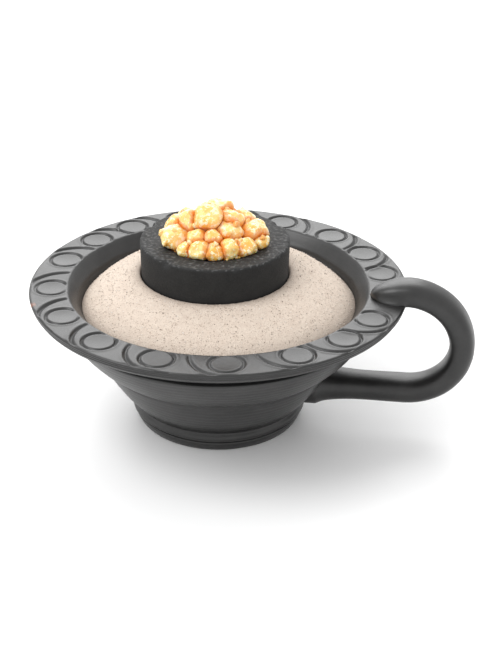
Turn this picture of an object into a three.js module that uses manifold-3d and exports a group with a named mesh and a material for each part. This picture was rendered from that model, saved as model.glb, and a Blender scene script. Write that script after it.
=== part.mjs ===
// Clay incense burner: a thrown bowl with a wide stamped rim and a loop handle, filled with a mound of
// sand that carries a charcoal tablet and a heap of resin lumps.
// Millimetres, +Z up. The origin is the centre of the foot on the table, and the handle lies along +X.

import * as THREE from 'three';
import { mergeVertices } from 'three/addons/utils/BufferGeometryUtils.js';
import Module from 'manifold-3d';

const wasm = await Module();
wasm.setup();

// Foot of the bowl
const footRadius = 22.6;
const footRingHeight = 2.8;
const footRingFlare = 1.0; // the ring's top is this much wider than its base
const footGrooveDepth = 0.5;
const footBeadWidth = 0.9; // how far the bead over the groove stands out of the groove
const footBeadHeight = 1.7;

// Wall of the bowl: two convex bands, each rising from a step
const waistRadius = 23.4;
const waistHeight = 5.8;
const stepRadius = 32.6;
const stepHeight = 19;
const stepWidth = 0.9; // how far the upper band overhangs the lower one
const shoulderRadius = 42.3; // crisp ridge at the top of the upper band
const shoulderHeight = 30.8;
const bandBulge = 1.1; // swell of a band over the straight line between its ends
const undercutDepth = 0.8;
const wallThickness = 4.2; // measured level, at the step
const floorThickness = 7.5; // over the flat base

// Rim: a flat flange round the mouth
const rimRadius = 51;
const rimTop = 39.3;
const rimBandHeight = 2.8;
const rimBandTaper = 0.6; // the band's lower edge lies this far inside its upper edge
const rimRootThickness = 5.6; // of the flange where it leaves the wall
const rimRounding = 0.5;
const mouthRadius = 40.3;
const throatRadius = 37;
const throatDepth = 5.7; // of the mouth's slanted lip, down to where the sand begins

// Ornament pressed and carved in the rim's top, in compass bearings from the handle
const stampBearings = [18, 35, 54, 76, 96, 115, 135, 152, 172, 195, 217, 239, 261, 283, 306, 325, 342];
const stampRadius = 4.6;
const stampInset = 6.2; // of a stamp's centre from the rim's edge
const grooveWidth = 0.7;
const grooveDepth = 0.5;
const arcRadius = 9.8;
const arcWidth = 0.9;
const arcLead = 3.3; // the arc's centre lies this much nearer the mouth than the stamp's
const arcDrift = 0.9; // and this much further round the rim
const arcStart = -10; // the arc's ends, in degrees from its clockwise side towards the rim's edge
const arcEnd = 77;

// Handle: a strap pulled into a loop in the plane of +X
const handleReach = 69.7; // outermost point, from the axis
const handleRise = 5.1; // top of the strap over the rim
const handleWidth = 10;
const handleThickness = 7;
const handleLowHeight = 8.3; // underside of the lower run
const handleLowSlope = 0.6; // fall of the lower run from the bend to the wall
const handleBendStart = 51; // where the runs turn into the loop
const handleBendHeight = 26; // height of the outermost point
const handleTipInset = 10.2; // of the strap's end from the rim's edge
const handleTipThickness = 5;
const handleRootWidth = 13.5;
const handleRootThickness = 8.5;
const handleRootLength = 18; // length over which the strap swells towards the wall
const strapSquareness = 0.7; // 1 is a plain oval and less is squarer

// Sand and charcoal
const sandRise = 3.2; // crest of the sand over the rim
const sandSwell = 1.9; // of the mound over a straight slope
const tabletRadius = 20;
const tabletHeight = 15;
const tabletShow = 9.4; // height of the tablet over the sand's crest
const tabletBaseTaper = 0.3;
const tabletRounding = 1.4;
const tabletEdge = 0.5;
const tabletShiftX = -1.1; // the tablet lies a little off the bowl's axis
const tabletShiftY = 0.3;
const dishRadius = 14;
const dishDepth = 3.5;

// Clearances between pieces that touch
const clearance = 0.3;
const lumpClearance = 0.3;

// Fineness of the faceted surfaces
const bowlSides = 60;
const wallSteps = 5;
const floorSteps = 6;
const moundSteps = 5;
const tabletSides = 40;
const tabletEdgeSteps = 3;
const dishSteps = 6;
const stampSides = 16;
const arcSteps = 5;
const strapSides = 14;
const strapSteps = 36;
const lumpDetail = 2;
const mergeDistance = 1e-4; // corners nearer than this are one corner
const mitreLimit = 1.5; // a corner of a moved outline moves at most this many times the distance

// Colours
const clayColour = 0x3a3836;
const sandColour = 0xd9c4ad;
const charcoalColour = 0x2b2a28;
const clayRoughness = 0.42;
const sandRoughness = 0.95;
const charcoalRoughness = 0.85;
const resinRoughness = 0.5;

// Resin lumps: bearing in degrees, then the distance out from the middle of the dish, the height over
// the tablet's top and the half-length, half-depth and half-height, as shares of the dish's radius.
const resinLumps = [
  // Front row, from the left
  { bearing: -148, out: 0.77, up: 0.13, half: [0.33, 0.29, 0.25] },
  { bearing: -119, out: 0.87, up: 0.06, half: [0.14, 0.14, 0.14] },
  { bearing: -99, out: 0.82, up: 0.07, half: [0.24, 0.2, 0.2] },
  { bearing: -79, out: 0.81, up: 0.07, half: [0.21, 0.2, 0.18] },
  { bearing: -61, out: 0.79, up: 0.1, half: [0.2, 0.2, 0.21] },
  { bearing: -37, out: 0.82, up: 0.07, half: [0.23, 0.22, 0.2] },
  { bearing: -6, out: 0.74, up: 0.17, half: [0.3, 0.3, 0.26] },
  { bearing: -14, out: 0.95, up: 0.1, half: [0.13, 0.13, 0.12] },
  // Second row, over the front one
  { bearing: -111, out: 0.6, up: 0.21, half: [0.22, 0.21, 0.19] },
  { bearing: -83, out: 0.56, up: 0.22, half: [0.22, 0.21, 0.19] },
  { bearing: -50, out: 0.44, up: 0.27, half: [0.32, 0.27, 0.25] },
  { bearing: -156, out: 0.5, up: 0.36, half: [0.2, 0.22, 0.28] },
  { bearing: 183, out: 0.72, up: 0.21, half: [0.24, 0.23, 0.2] },
  { bearing: 23, out: 0.52, up: 0.31, half: [0.24, 0.23, 0.21] },
  { bearing: 27, out: 0.83, up: 0.11, half: [0.18, 0.17, 0.16] },
  // Back of the heap
  { bearing: 53, out: 0.72, up: 0.13, half: [0.26, 0.25, 0.23] },
  { bearing: 82, out: 0.72, up: 0.12, half: [0.25, 0.24, 0.23] },
  { bearing: 111, out: 0.73, up: 0.14, half: [0.27, 0.25, 0.23] },
  { bearing: 145, out: 0.72, up: 0.14, half: [0.27, 0.26, 0.25] },
  { bearing: 106, out: 0.36, up: 0.34, half: [0.29, 0.27, 0.23] },
  // Middle and crown
  { bearing: 0, out: 0.02, up: 0, half: [0.44, 0.42, 0.3] },
  { bearing: -19, out: 0.33, up: 0.43, half: [0.28, 0.25, 0.21] },
  { bearing: -104, out: 0.26, up: 0.48, half: [0.33, 0.29, 0.28] },
  { bearing: 86, out: 0.16, up: 0.54, half: [0.36, 0.24, 0.17] },
];
const lumpRoughness = 0.09; // depth of a lump's dents, as a share of its size
const lumpFaces = 7; // flat broken faces on a lump
const lumpFlatness = 0.84; // nearness of a broken face, as a share of the whole lump's reach
const goldenAngle = Math.PI * (3 - Math.sqrt(5));
const resinColours = [0xf3dfa6, 0xe9b455, 0xf0cf86, 0xe0913c];

const handleCrown = rimTop + handleRise;
const sandEdge = rimTop - throatDepth;
const sandTop = rimTop + sandRise;
const tabletTop = sandTop + tabletShow;
const tabletBase = tabletTop - tabletHeight;

function point(radius, height) {
  return new THREE.Vector2(radius, height);
}

// An outline moved sideways by a distance, to the right of the way its points run. Points on the axis
// stay on it.
function movedOutline(outline, distance) {
  return outline.map((here, i) => {
    const before = outline[Math.max(i - 1, 0)];
    const after = outline[Math.min(i + 1, outline.length - 1)];
    const normalIn = rightOf(i > 0 ? before : here, i > 0 ? here : after);
    const normalOut = rightOf(i < outline.length - 1 ? here : before, i < outline.length - 1 ? after : here);
    const normal = normalIn.clone().add(normalOut).normalize();
    const mitre = Math.min(1 / normal.dot(normalIn), mitreLimit);
    const moved = here.clone().addScaledVector(normal, distance * mitre);
    return here.x === 0 ? point(0, moved.y) : moved;
  });
}

function rightOf(from, to) {
  const along = to.clone().sub(from).normalize();
  return point(along.y, -along.x);
}

// A solid of revolution about +Z from an outline that starts and ends on the axis.
function turned(outline, sides) {
  return new THREE.LatheGeometry(outline, sides).rotateX(Math.PI / 2);
}

// Shared vertices and no collapsed triangles, as a closed solid needs.
function closed(geometry) {
  const bare = geometry.clone();
  bare.deleteAttribute('normal');
  bare.deleteAttribute('uv');
  const merged = mergeVertices(bare, mergeDistance);
  const corners = merged.index.array;
  const kept = [];
  for (let i = 0; i < corners.length; i += 3) {
    const [a, b, c] = [corners[i], corners[i + 1], corners[i + 2]];
    if (a !== b && b !== c && c !== a) kept.push(a, b, c);
  }
  merged.setIndex(kept);
  return merged;
}

function toSolid(geometry) {
  const merged = closed(geometry);
  return new wasm.Manifold(new wasm.Mesh({
    numProp: 3,
    vertProperties: new Float32Array(merged.attributes.position.array),
    triVerts: new Uint32Array(merged.index.array),
  }));
}

function toGeometry(solid) {
  const mesh = solid.getMesh();
  const geometry = new THREE.BufferGeometry();
  geometry.setAttribute('position', new THREE.BufferAttribute(mesh.vertProperties, 3));
  geometry.setIndex(new THREE.BufferAttribute(mesh.triVerts, 1));
  geometry.computeVertexNormals();
  return geometry;
}

function piece(name, geometry, color, roughness) {
  const mesh = new THREE.Mesh(geometry, new THREE.MeshStandardMaterial({ color, roughness, metalness: 0 }));
  mesh.name = name;
  return mesh;
}

// Outside of the bowl from the waist up to the mouth.
function outerWall() {
  const wall = new THREE.Path();
  const flangeRoot = rimTop - rimRootThickness;
  const bandLow = rimTop - rimBandHeight;
  wall.moveTo(waistRadius, waistHeight);
  bulgeTo(wall, stepRadius, stepHeight);
  wall.lineTo(stepRadius + stepWidth, stepHeight + stepWidth);
  bulgeTo(wall, shoulderRadius, shoulderHeight);
  wall.lineTo(shoulderRadius - undercutDepth, shoulderHeight + undercutDepth);
  wall.lineTo(shoulderRadius + undercutDepth, flangeRoot);
  wall.lineTo(rimRadius - rimBandTaper - rimRounding, bandLow);
  wall.lineTo(rimRadius - rimBandTaper, bandLow + rimRounding);
  wall.lineTo(rimRadius, rimTop - rimRounding);
  wall.lineTo(rimRadius - rimRounding, rimTop);
  wall.lineTo(mouthRadius + rimRounding, rimTop);
  return wall.getPoints(wallSteps);
}

// A convex band from the path's last point to the given one.
function bulgeTo(path, radius, height) {
  const from = path.currentPoint;
  const middle = point((from.x + radius) / 2, (from.y + height) / 2);
  const outward = rightOf(from, point(radius, height));
  const control = middle.addScaledVector(outward, bandBulge);
  path.quadraticCurveTo(control.x, control.y, radius, height);
}

// Inside of the bowl from the middle of its floor up to the throat, where the sand ends.
function innerWall() {
  const lowest = point(waistRadius - 2 * wallThickness, floorThickness);
  const curve = new THREE.SplineCurve([
    lowest,
    point(waistRadius, floorThickness + wallThickness),
    point(stepRadius - wallThickness + stepWidth, stepHeight + stepWidth),
    point(throatRadius, sandEdge),
  ]);
  return [point(0, floorThickness), ...curve.getPoints(floorSteps)];
}

function foot() {
  const grooveRadius = footRadius + footRingFlare - footGrooveDepth;
  const beadRadius = grooveRadius + footBeadWidth;
  const beadLow = footRingHeight + footGrooveDepth + (waistHeight - footRingHeight - footBeadHeight) / 4;
  return [
    point(0, 0),
    point(footRadius - rimRounding, 0),
    point(footRadius, rimRounding),
    point(footRadius + footRingFlare, footRingHeight - footGrooveDepth / 2),
    point(grooveRadius, footRingHeight),
    point(beadRadius, beadLow),
    point(beadRadius, footRingHeight + footBeadHeight),
  ];
}

// The stamped circle's groove, about its own middle with the rim's top at height 0.
function stampCutter() {
  const inner = stampRadius - grooveWidth;
  const slant = grooveWidth / 4;
  const groove = [
    point(inner + slant, -grooveDepth),
    point(stampRadius - slant, -grooveDepth),
    point(stampRadius + slant, grooveDepth),
    point(inner - slant, grooveDepth),
    point(inner + slant, -grooveDepth),
  ];
  return turned(groove, stampSides);
}

// The carved arc beside a stamp, about the stamp's middle, with +X pointing away from the mouth.
function arcCutter() {
  const stroke = new THREE.Shape();
  const from = THREE.MathUtils.degToRad(arcStart);
  const to = THREE.MathUtils.degToRad(arcEnd);
  stroke.absarc(0, 0, arcRadius + arcWidth / 2, from, to, false);
  stroke.absarc(0, 0, arcRadius - arcWidth / 2, to, from, true);
  const options = { depth: 2 * grooveDepth, bevelEnabled: false, curveSegments: arcSteps };
  const cut = new THREE.ExtrudeGeometry(stroke, options);
  return cut.translate(-arcDrift, -arcLead, -grooveDepth).rotateZ(-Math.PI / 2);
}

function bowl() {
  const outline = [...foot(), ...outerWall(), ...innerWall().reverse()];
  let solid = toSolid(turned(outline, bowlSides));
  const stamp = toSolid(stampCutter());
  const arc = toSolid(arcCutter());
  for (const bearing of stampBearings) {
    const at = [rimRadius - stampInset, 0, rimTop];
    solid = solid.subtract(stamp.translate(at).rotate([0, 0, bearing]));
    const underHandle = bearing === stampBearings[0];
    if (!underHandle) solid = solid.subtract(arc.translate(at).rotate([0, 0, bearing]));
  }
  return piece('bowl', toGeometry(solid), clayColour, clayRoughness);
}

// The handle's middle line in the plane of +X, from its tip on the rim round to the wall.
function handleLine() {
  const half = handleThickness / 2;
  const topLine = handleCrown - half;
  const lowLine = handleLowHeight + half;
  const reach = handleReach - half - handleBendStart;
  const line = new THREE.Path();
  line.moveTo(rimRadius - handleTipInset, rimTop);
  line.quadraticCurveTo(rimRadius - handleTipInset / 2, topLine, handleBendStart, topLine);
  line.absellipse(handleBendStart, handleBendHeight, reach, topLine - handleBendHeight, Math.PI / 2, 0, true);
  line.absellipse(handleBendStart, handleBendHeight, reach, handleBendHeight - lowLine, 0, -Math.PI / 2, true);
  line.lineTo(waistRadius, lowLine - handleLowSlope);
  return line;
}

// The strap: rounded sections set square to the middle line. It thins towards its tip on the rim and
// swells towards the wall.
function strap() {
  const line = handleLine();
  const length = line.getLength();
  const rings = [];
  for (let step = 0; step <= strapSteps; step += 1) {
    const along = step / strapSteps;
    const centre = line.getPointAt(along);
    const outward = rightOf(point(0, 0), line.getTangentAt(along)).negate();
    const tip = Math.max(1 - (along * length) / handleTipInset, 0);
    const root = THREE.MathUtils.smoothstep(along * length, length - handleRootLength, length);
    const width = handleWidth + (handleRootWidth - handleWidth) * root;
    const thickness = handleThickness + (handleRootThickness - handleThickness) * root
      + (handleTipThickness - handleThickness) * tip;
    rings.push(strapRing(centre, outward, width / 2, thickness / 2));
  }
  return loft(rings);
}

// One section of the strap: a squared-off oval.
function strapRing(centre, outward, halfWidth, halfThickness) {
  const ring = [];
  for (let side = 0; side < strapSides; side += 1) {
    const turn = (2 * Math.PI * side) / strapSides;
    const across = Math.sign(Math.cos(turn)) * Math.abs(Math.cos(turn)) ** strapSquareness * halfWidth;
    const out = Math.sign(Math.sin(turn)) * Math.abs(Math.sin(turn)) ** strapSquareness * halfThickness;
    ring.push(new THREE.Vector3(centre.x + outward.x * out, across, centre.y + outward.y * out));
  }
  return ring;
}

// A closed skin over a row of rings that have the same number of points.
function loft(rings) {
  const count = rings[0].length;
  const ends = [rings[0], rings[rings.length - 1]].map((ring) => (
    ring.reduce((sum, corner) => sum.add(corner), new THREE.Vector3()).divideScalar(count)
  ));
  const corners = [...rings.flat(), ...ends];
  const [first, last] = [corners.length - 2, corners.length - 1];
  const faces = [];
  for (let side = 0; side < count; side += 1) {
    const next = (side + 1) % count;
    const lastRing = (rings.length - 1) * count;
    faces.push(first, next, side, last, lastRing + side, lastRing + next);
    for (let ring = 0; ring < rings.length - 1; ring += 1) {
      const [a, b] = [ring * count + side, ring * count + next];
      faces.push(a, b, a + count, b, b + count, a + count);
    }
  }
  const geometry = new THREE.BufferGeometry().setFromPoints(corners);
  geometry.setIndex(faces);
  return geometry;
}

// The strap, seated on the bowl: what the bowl and the clearance round it take up is cut away.
function handle() {
  const wall = movedOutline([...foot().slice(-1), ...outerWall()], clearance);
  const seat = [point(0, wall[0].y), ...wall, point(0, rimTop + clearance)];
  const solid = toSolid(strap()).subtract(toSolid(turned(seat, bowlSides)));
  return piece('handle', toGeometry(solid), clayColour, clayRoughness);
}

// The tablet from the middle of its base up to the edge of its dish.
function tabletSide() {
  const baseRadius = tabletRadius - tabletBaseTaper;
  const side = new THREE.Path();
  side.moveTo(0, tabletBase);
  side.lineTo(baseRadius - tabletRounding, tabletBase);
  side.quadraticCurveTo(baseRadius, tabletBase, baseRadius, tabletBase + tabletRounding);
  side.lineTo(tabletRadius, tabletTop - tabletEdge);
  side.lineTo(tabletRadius - tabletEdge, tabletTop);
  side.lineTo(dishRadius + tabletEdge, tabletTop);
  return side.getPoints(tabletEdgeSteps);
}

// The dish is part of a ball's surface.
const dishBall = (dishRadius ** 2 + dishDepth ** 2) / (2 * dishDepth);
const dishBallCentre = new THREE.Vector3(0, 0, tabletTop - dishDepth + dishBall);

function tablet() {
  const dish = [];
  for (let step = 0; step <= dishSteps; step += 1) {
    const radius = dishRadius * (1 - step / dishSteps);
    const drop = Math.sqrt(dishBall ** 2 - radius ** 2);
    dish.push(point(radius, dishBallCentre.z - drop));
  }
  const geometry = closed(turned([...tabletSide(), ...dish], tabletSides));
  return piece('charcoal_tablet', geometry, charcoalColour, charcoalRoughness);
}

// The sand fills the bowl to its throat and rises in a mound to the tablet, which is bedded in it.
function sandBed() {
  const underside = movedOutline(innerWall(), -clearance);
  const low = underside[underside.length - 1];
  const crest = point(tabletRadius + clearance, sandTop);
  const middle = point((low.x + crest.x) / 2, (low.y + crest.y) / 2);
  const swollen = middle.addScaledVector(rightOf(low, crest), 2 * sandSwell);
  const mound = new THREE.Path();
  mound.moveTo(low.x, low.y);
  mound.quadraticCurveTo(swollen.x, swollen.y, crest.x, crest.y);
  const slope = mound.getPoints(moundSteps).slice(1);
  const heap = toSolid(turned([...underside, ...slope, point(0, sandTop)], bowlSides));
  const side = movedOutline(tabletSide(), clearance);
  const bed = toSolid(turned([...side, point(0, side[side.length - 1].y)], tabletSides));
  const solid = heap.subtract(bed.translate([tabletShiftX, tabletShiftY, 0]));
  return piece('sand_bed', toGeometry(solid), sandColour, sandRoughness);
}

function lumpCentre({ bearing, out, up }) {
  const angle = THREE.MathUtils.degToRad(bearing);
  return new THREE.Vector3(out * Math.cos(angle), out * Math.sin(angle), up)
    .multiplyScalar(dishRadius)
    .add(new THREE.Vector3(0, 0, tabletTop));
}

function lumpSize({ half }) {
  return ((half[0] + half[1] + half[2]) / 3) * dishRadius;
}

// How far a lump may reach from its centre in a direction, before it meets a neighbour or the dish.
function lumpRoom(lump, centre, direction) {
  let room = dishRoom(centre, direction);
  for (const other of resinLumps) {
    if (other === lump) continue;
    const toOther = lumpCentre(other).sub(centre);
    const apart = toOther.length();
    const facing = direction.dot(toOther) / apart;
    if (facing <= 0) continue;
    const share = lumpSize(lump) / (lumpSize(lump) + lumpSize(other));
    room = Math.min(room, (apart * share - lumpClearance / 2) / facing);
  }
  return room;
}

// The way from a point inside the dish's ball to its surface, less the clearance.
function dishRoom(centre, direction) {
  const fromBall = centre.clone().sub(dishBallCentre);
  const along = fromBall.dot(direction);
  const depth = (dishBall - clearance) ** 2 - fromBall.lengthSq();
  return Math.sqrt(along ** 2 + depth) - along;
}

// Directions of a lump's broken faces, spread evenly round it and different for each lump.
function brokenFaces(index) {
  return Array.from({ length: lumpFaces }, (unused, face) => {
    const height = 1 - (2 * face + 1) / lumpFaces;
    const turn = goldenAngle * (face + lumpFaces * index);
    const level = Math.sqrt(1 - height ** 2);
    return new THREE.Vector3(level * Math.cos(turn), level * Math.sin(turn), height);
  });
}

// How far a lump of this half-size reaches in a direction, with its dents and broken faces.
function lumpReach(halfSize, faces, direction, index) {
  const waves = Math.sin(4 * direction.x + index) + Math.sin(5 * direction.y + 2 * index)
    + Math.sin(4 * direction.z + 3 * index);
  const oval = (1 + (lumpRoughness * waves) / 3) / direction.clone().divide(halfSize).length();
  const flats = faces.map((normal) => {
    const facing = Math.max(normal.dot(direction), Number.EPSILON);
    return (lumpFlatness * normal.clone().multiply(halfSize).length()) / facing;
  });
  return Math.min(oval, ...flats);
}

// A broken lump of resin: a dented oval with flat faces, trimmed where it meets its neighbours and the dish.
function lump(spot, index) {
  const centre = lumpCentre(spot);
  const halfSize = new THREE.Vector3(...spot.half).multiplyScalar(dishRadius);
  const faces = brokenFaces(index);
  const geometry = closed(new THREE.IcosahedronGeometry(1, lumpDetail));
  const corners = geometry.attributes.position;
  for (let i = 0; i < corners.count; i += 1) {
    const direction = new THREE.Vector3().fromBufferAttribute(corners, i).normalize();
    const reach = Math.min(lumpReach(halfSize, faces, direction, index), lumpRoom(spot, centre, direction));
    corners.setXYZ(i, direction.x * reach, direction.y * reach, direction.z * reach);
  }
  geometry.computeVertexNormals();
  const name = `resin_lump_${String(index + 1).padStart(2, '0')}`;
  const mesh = piece(name, geometry, resinColours[index % resinColours.length], resinRoughness);
  mesh.position.copy(centre);
  return mesh;
}

const charcoal = new THREE.Group();
charcoal.position.set(tabletShiftX, tabletShiftY, 0);
charcoal.add(tablet(), ...resinLumps.map(lump));

const burner = new THREE.Group();
burner.add(bowl(), handle(), sandBed(), charcoal);

export default burner;
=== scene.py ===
"""Looks of a clay incense burner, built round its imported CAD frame.

The frame's axes are kept: +Z up, the loop handle along +X and the foot on Z = 0. Sizes in the classes
below are in millimetres and angles in degrees, and meshes are in metres.
"""

import logging
import math
import random
from collections.abc import Iterable
from dataclasses import dataclass
from enum import Enum

import bmesh
import bpy
import numpy as np
from mathutils import Matrix, Vector, noise
from mathutils.kdtree import KDTree


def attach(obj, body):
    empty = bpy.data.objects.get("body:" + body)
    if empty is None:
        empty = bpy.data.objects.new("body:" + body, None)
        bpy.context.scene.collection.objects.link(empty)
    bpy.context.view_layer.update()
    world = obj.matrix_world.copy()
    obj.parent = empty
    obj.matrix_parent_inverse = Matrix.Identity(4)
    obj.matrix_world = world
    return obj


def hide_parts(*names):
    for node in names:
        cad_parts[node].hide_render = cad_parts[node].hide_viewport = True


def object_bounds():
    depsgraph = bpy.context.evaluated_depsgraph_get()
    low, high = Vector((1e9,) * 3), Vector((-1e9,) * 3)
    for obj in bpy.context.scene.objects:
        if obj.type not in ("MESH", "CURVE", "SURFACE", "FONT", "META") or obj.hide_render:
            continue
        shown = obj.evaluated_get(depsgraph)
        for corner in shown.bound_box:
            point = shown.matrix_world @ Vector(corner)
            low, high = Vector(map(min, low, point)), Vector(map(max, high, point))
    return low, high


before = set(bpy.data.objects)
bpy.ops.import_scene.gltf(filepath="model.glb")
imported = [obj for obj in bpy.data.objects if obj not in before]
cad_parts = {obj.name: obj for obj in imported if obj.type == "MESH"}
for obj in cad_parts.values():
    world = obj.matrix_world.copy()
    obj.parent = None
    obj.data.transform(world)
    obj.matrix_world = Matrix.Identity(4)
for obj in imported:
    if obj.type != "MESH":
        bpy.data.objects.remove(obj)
START_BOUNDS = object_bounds()

log = logging.getLogger("burner")

Colour = tuple[float, float, float]
Point = tuple[float, float]
Outline = list[Point]

MM = 0.001
SEAM_GAP = 1e-7
MERGE_GAP = 1e-6
LUMP_NAME = "resin_lump"
TABLET_PLACE: Point = (-1.1, 0.3)
SEED = 7


class Body(Enum):
    """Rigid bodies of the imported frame."""

    BOWL = "bowl"
    CHARCOAL = "charcoal"
    RESIN = "resin"


class Slot(Enum):
    """Material slots of the record."""

    CLAY = "clay"
    SAND = "sand"
    CHARCOAL = "charcoal"
    RESIN = "resin"


class Mark(Enum):
    """Vertex attributes that the finishes read."""

    # Tint is the red chip, light sand grains, crumb tones and painted light: the charcoal's glints and the glow
    # where resin lumps meet. Shade is painted shade, except on the sand grains, where it is their own darker
    # colour.
    TINT = "tint"
    SHADE = "shade"


class Graph:
    """A shader node tree that is being filled."""

    def __init__(self, tree: bpy.types.NodeTree) -> None:
        """Empties the tree."""
        self.tree = tree
        tree.nodes.clear()

    def add(self, kind: str, inputs: dict | None = None, **settings: object) -> bpy.types.Node:
        """Adds a node.

        Args:
            kind: Blender's type name of the node.
            inputs: Values or output sockets for its inputs, by name or number.
            settings: Properties of the node.

        Returns:
            The new node.
        """
        node = self.tree.nodes.new(kind)
        for name, value in settings.items():
            setattr(node, name, value)
        for name, value in (inputs or {}).items():
            if isinstance(value, bpy.types.NodeSocket):
                self.tree.links.new(value, node.inputs[name])
            else:
                node.inputs[name].default_value = value
        return node

    def mix(self, factor: object, first: object, second: object) -> bpy.types.NodeSocket:
        """Mixes two colours.

        Args:
            factor: Share of the second colour, as a value or an output socket.
            first: The first colour, as a value or an output socket.
            second: The second colour, in the same way.

        Returns:
            The output socket with the mixed colour.
        """
        # The node has inputs of the same name for each kind of data, so the colours' are taken by number.
        return self.add("ShaderNodeMix", {0: factor, 6: first, 7: second}, data_type="RGBA").outputs[2]


@dataclass(frozen=True)
class Speckle:
    """The pattern that every finish shares: soft patches, fine specks and turning lines."""

    patch_detail: float = 5.0
    patch_roughness: float = 0.6
    patch_span: tuple[float, float] = (0.36, 0.64)
    speck_detail: float = 3.0
    speck_roughness: float = 0.7
    speck_edge: float = 0.05
    line_squash: float = 0.04
    line_detail: float = 4.0

    def make(self) -> bpy.types.NodeTree:
        """Makes the shader node group.

        Returns:
            A group with colours, scales and amounts as inputs, and Color and Height as outputs.
        """
        tree = bpy.data.node_groups.new("speckled_surface", "ShaderNodeTree")
        for name in ("Base", "Patch", "Speck"):
            tree.interface.new_socket(name, in_out="INPUT", socket_type="NodeSocketColor")
        for name in ("Patch Scale", "Speck Scale", "Speck Cut", "Line Scale", "Line Depth"):
            tree.interface.new_socket(name, in_out="INPUT", socket_type="NodeSocketFloat")
        tree.interface.new_socket("Color", in_out="OUTPUT", socket_type="NodeSocketColor")
        tree.interface.new_socket("Height", in_out="OUTPUT", socket_type="NodeSocketFloat")
        graph = Graph(tree)
        given = graph.add("NodeGroupInput").outputs
        place = graph.add("ShaderNodeTexCoord").outputs["Object"]
        patches = graph.add(
            "ShaderNodeTexNoise",
            {
                "Vector": place,
                "Scale": given["Patch Scale"],
                "Detail": self.patch_detail,
                "Roughness": self.patch_roughness,
            },
        )
        soft = graph.add(
            "ShaderNodeMapRange",
            {"Value": patches.outputs[0], "From Min": self.patch_span[0], "From Max": self.patch_span[1]},
        )
        grains = graph.add(
            "ShaderNodeTexNoise",
            {
                "Vector": place,
                "Scale": given["Speck Scale"],
                "Detail": self.speck_detail,
                "Roughness": self.speck_roughness,
            },
        )
        above = graph.add(
            "ShaderNodeMath", {0: grains.outputs[0], 1: given["Speck Cut"]}, operation="SUBTRACT"
        )
        sharp = graph.add(
            "ShaderNodeMapRange", {"Value": above.outputs[0], "From Min": 0.0, "From Max": self.speck_edge}
        )
        flat = graph.add(
            "ShaderNodeMapping", {"Vector": place, "Scale": (self.line_squash, self.line_squash, 1.0)}
        )
        lines = graph.add(
            "ShaderNodeTexNoise",
            {"Vector": flat.outputs[0], "Scale": given["Line Scale"], "Detail": self.line_detail},
        )
        lined = graph.add(
            "ShaderNodeMath", {0: lines.outputs[0], 1: given["Line Depth"]}, operation="MULTIPLY"
        )
        height = graph.add("ShaderNodeMath", {0: grains.outputs[0], 1: lined.outputs[0]}, operation="ADD")
        colour = graph.mix(soft.outputs[0], given["Base"], given["Patch"])
        colour = graph.mix(sharp.outputs[0], colour, given["Speck"])
        graph.add("NodeGroupOutput", {"Color": colour, "Height": height.outputs[0]})
        return tree


@dataclass(frozen=True)
class Finish:
    """A procedural finish: patches, specks and lines, with marked places tinted or shaded."""

    name: str
    base: Colour
    patch: Colour
    speck: Colour
    # Tint and shade are the colours that marked places take; shade is mostly painted shade.
    tint: Colour
    shade: Colour
    roughness: tuple[float, float]
    patch_scale: float
    speck_scale: float
    speck_cut: float
    bump: float
    bump_depth: float
    line_scale: float = 900.0
    line_depth: float = 0.0
    height_span: tuple[float, float] = (0.3, 0.8)
    coat: float = 0.0
    coat_roughness: float = 0.25
    subsurface: float = 0.0
    subsurface_radius: Colour = (1.0, 0.55, 0.2)
    subsurface_depth: float = 2.0

    def make(self, pattern: bpy.types.NodeTree) -> bpy.types.Material:
        """Makes the material.

        Args:
            pattern: The shared speckle group.

        Returns:
            The material, ready to put on a piece.
        """
        material = bpy.data.materials.new(self.name)
        material.use_nodes = True
        graph = Graph(material.node_tree)
        surface = graph.add("ShaderNodeGroup", node_tree=pattern)
        values = {
            "Base": (*self.base, 1.0),
            "Patch": (*self.patch, 1.0),
            "Speck": (*self.speck, 1.0),
            "Patch Scale": self.patch_scale,
            "Speck Scale": self.speck_scale,
            "Speck Cut": self.speck_cut,
            "Line Scale": self.line_scale,
            "Line Depth": self.line_depth,
        }
        for name, value in values.items():
            surface.inputs[name].default_value = value
        tinted = graph.add("ShaderNodeAttribute", attribute_name=Mark.TINT.value).outputs["Fac"]
        shaded = graph.add("ShaderNodeAttribute", attribute_name=Mark.SHADE.value).outputs["Fac"]
        colour = graph.mix(tinted, surface.outputs["Color"], (*self.tint, 1.0))
        colour = graph.mix(shaded, colour, (*self.shade, 1.0))
        rough = graph.add(
            "ShaderNodeMapRange",
            {
                "Value": surface.outputs["Height"],
                "From Min": self.height_span[0],
                "From Max": self.height_span[1],
                "To Min": self.roughness[0],
                "To Max": self.roughness[1],
            },
        )
        bump = graph.add(
            "ShaderNodeBump",
            {
                "Height": surface.outputs["Height"],
                "Strength": self.bump,
                "Distance": self.bump_depth * MM,
            },
        )
        shader = graph.add(
            "ShaderNodeBsdfPrincipled",
            {
                "Base Color": colour,
                "Roughness": rough.outputs[0],
                "Normal": bump.outputs[0],
                "Coat Weight": self.coat,
                "Coat Roughness": self.coat_roughness,
                "Subsurface Weight": self.subsurface,
                "Subsurface Radius": self.subsurface_radius,
                "Subsurface Scale": self.subsurface_depth * MM,
            },
        )
        graph.add("ShaderNodeOutputMaterial", {"Surface": shader.outputs[0]})
        return material


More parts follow.
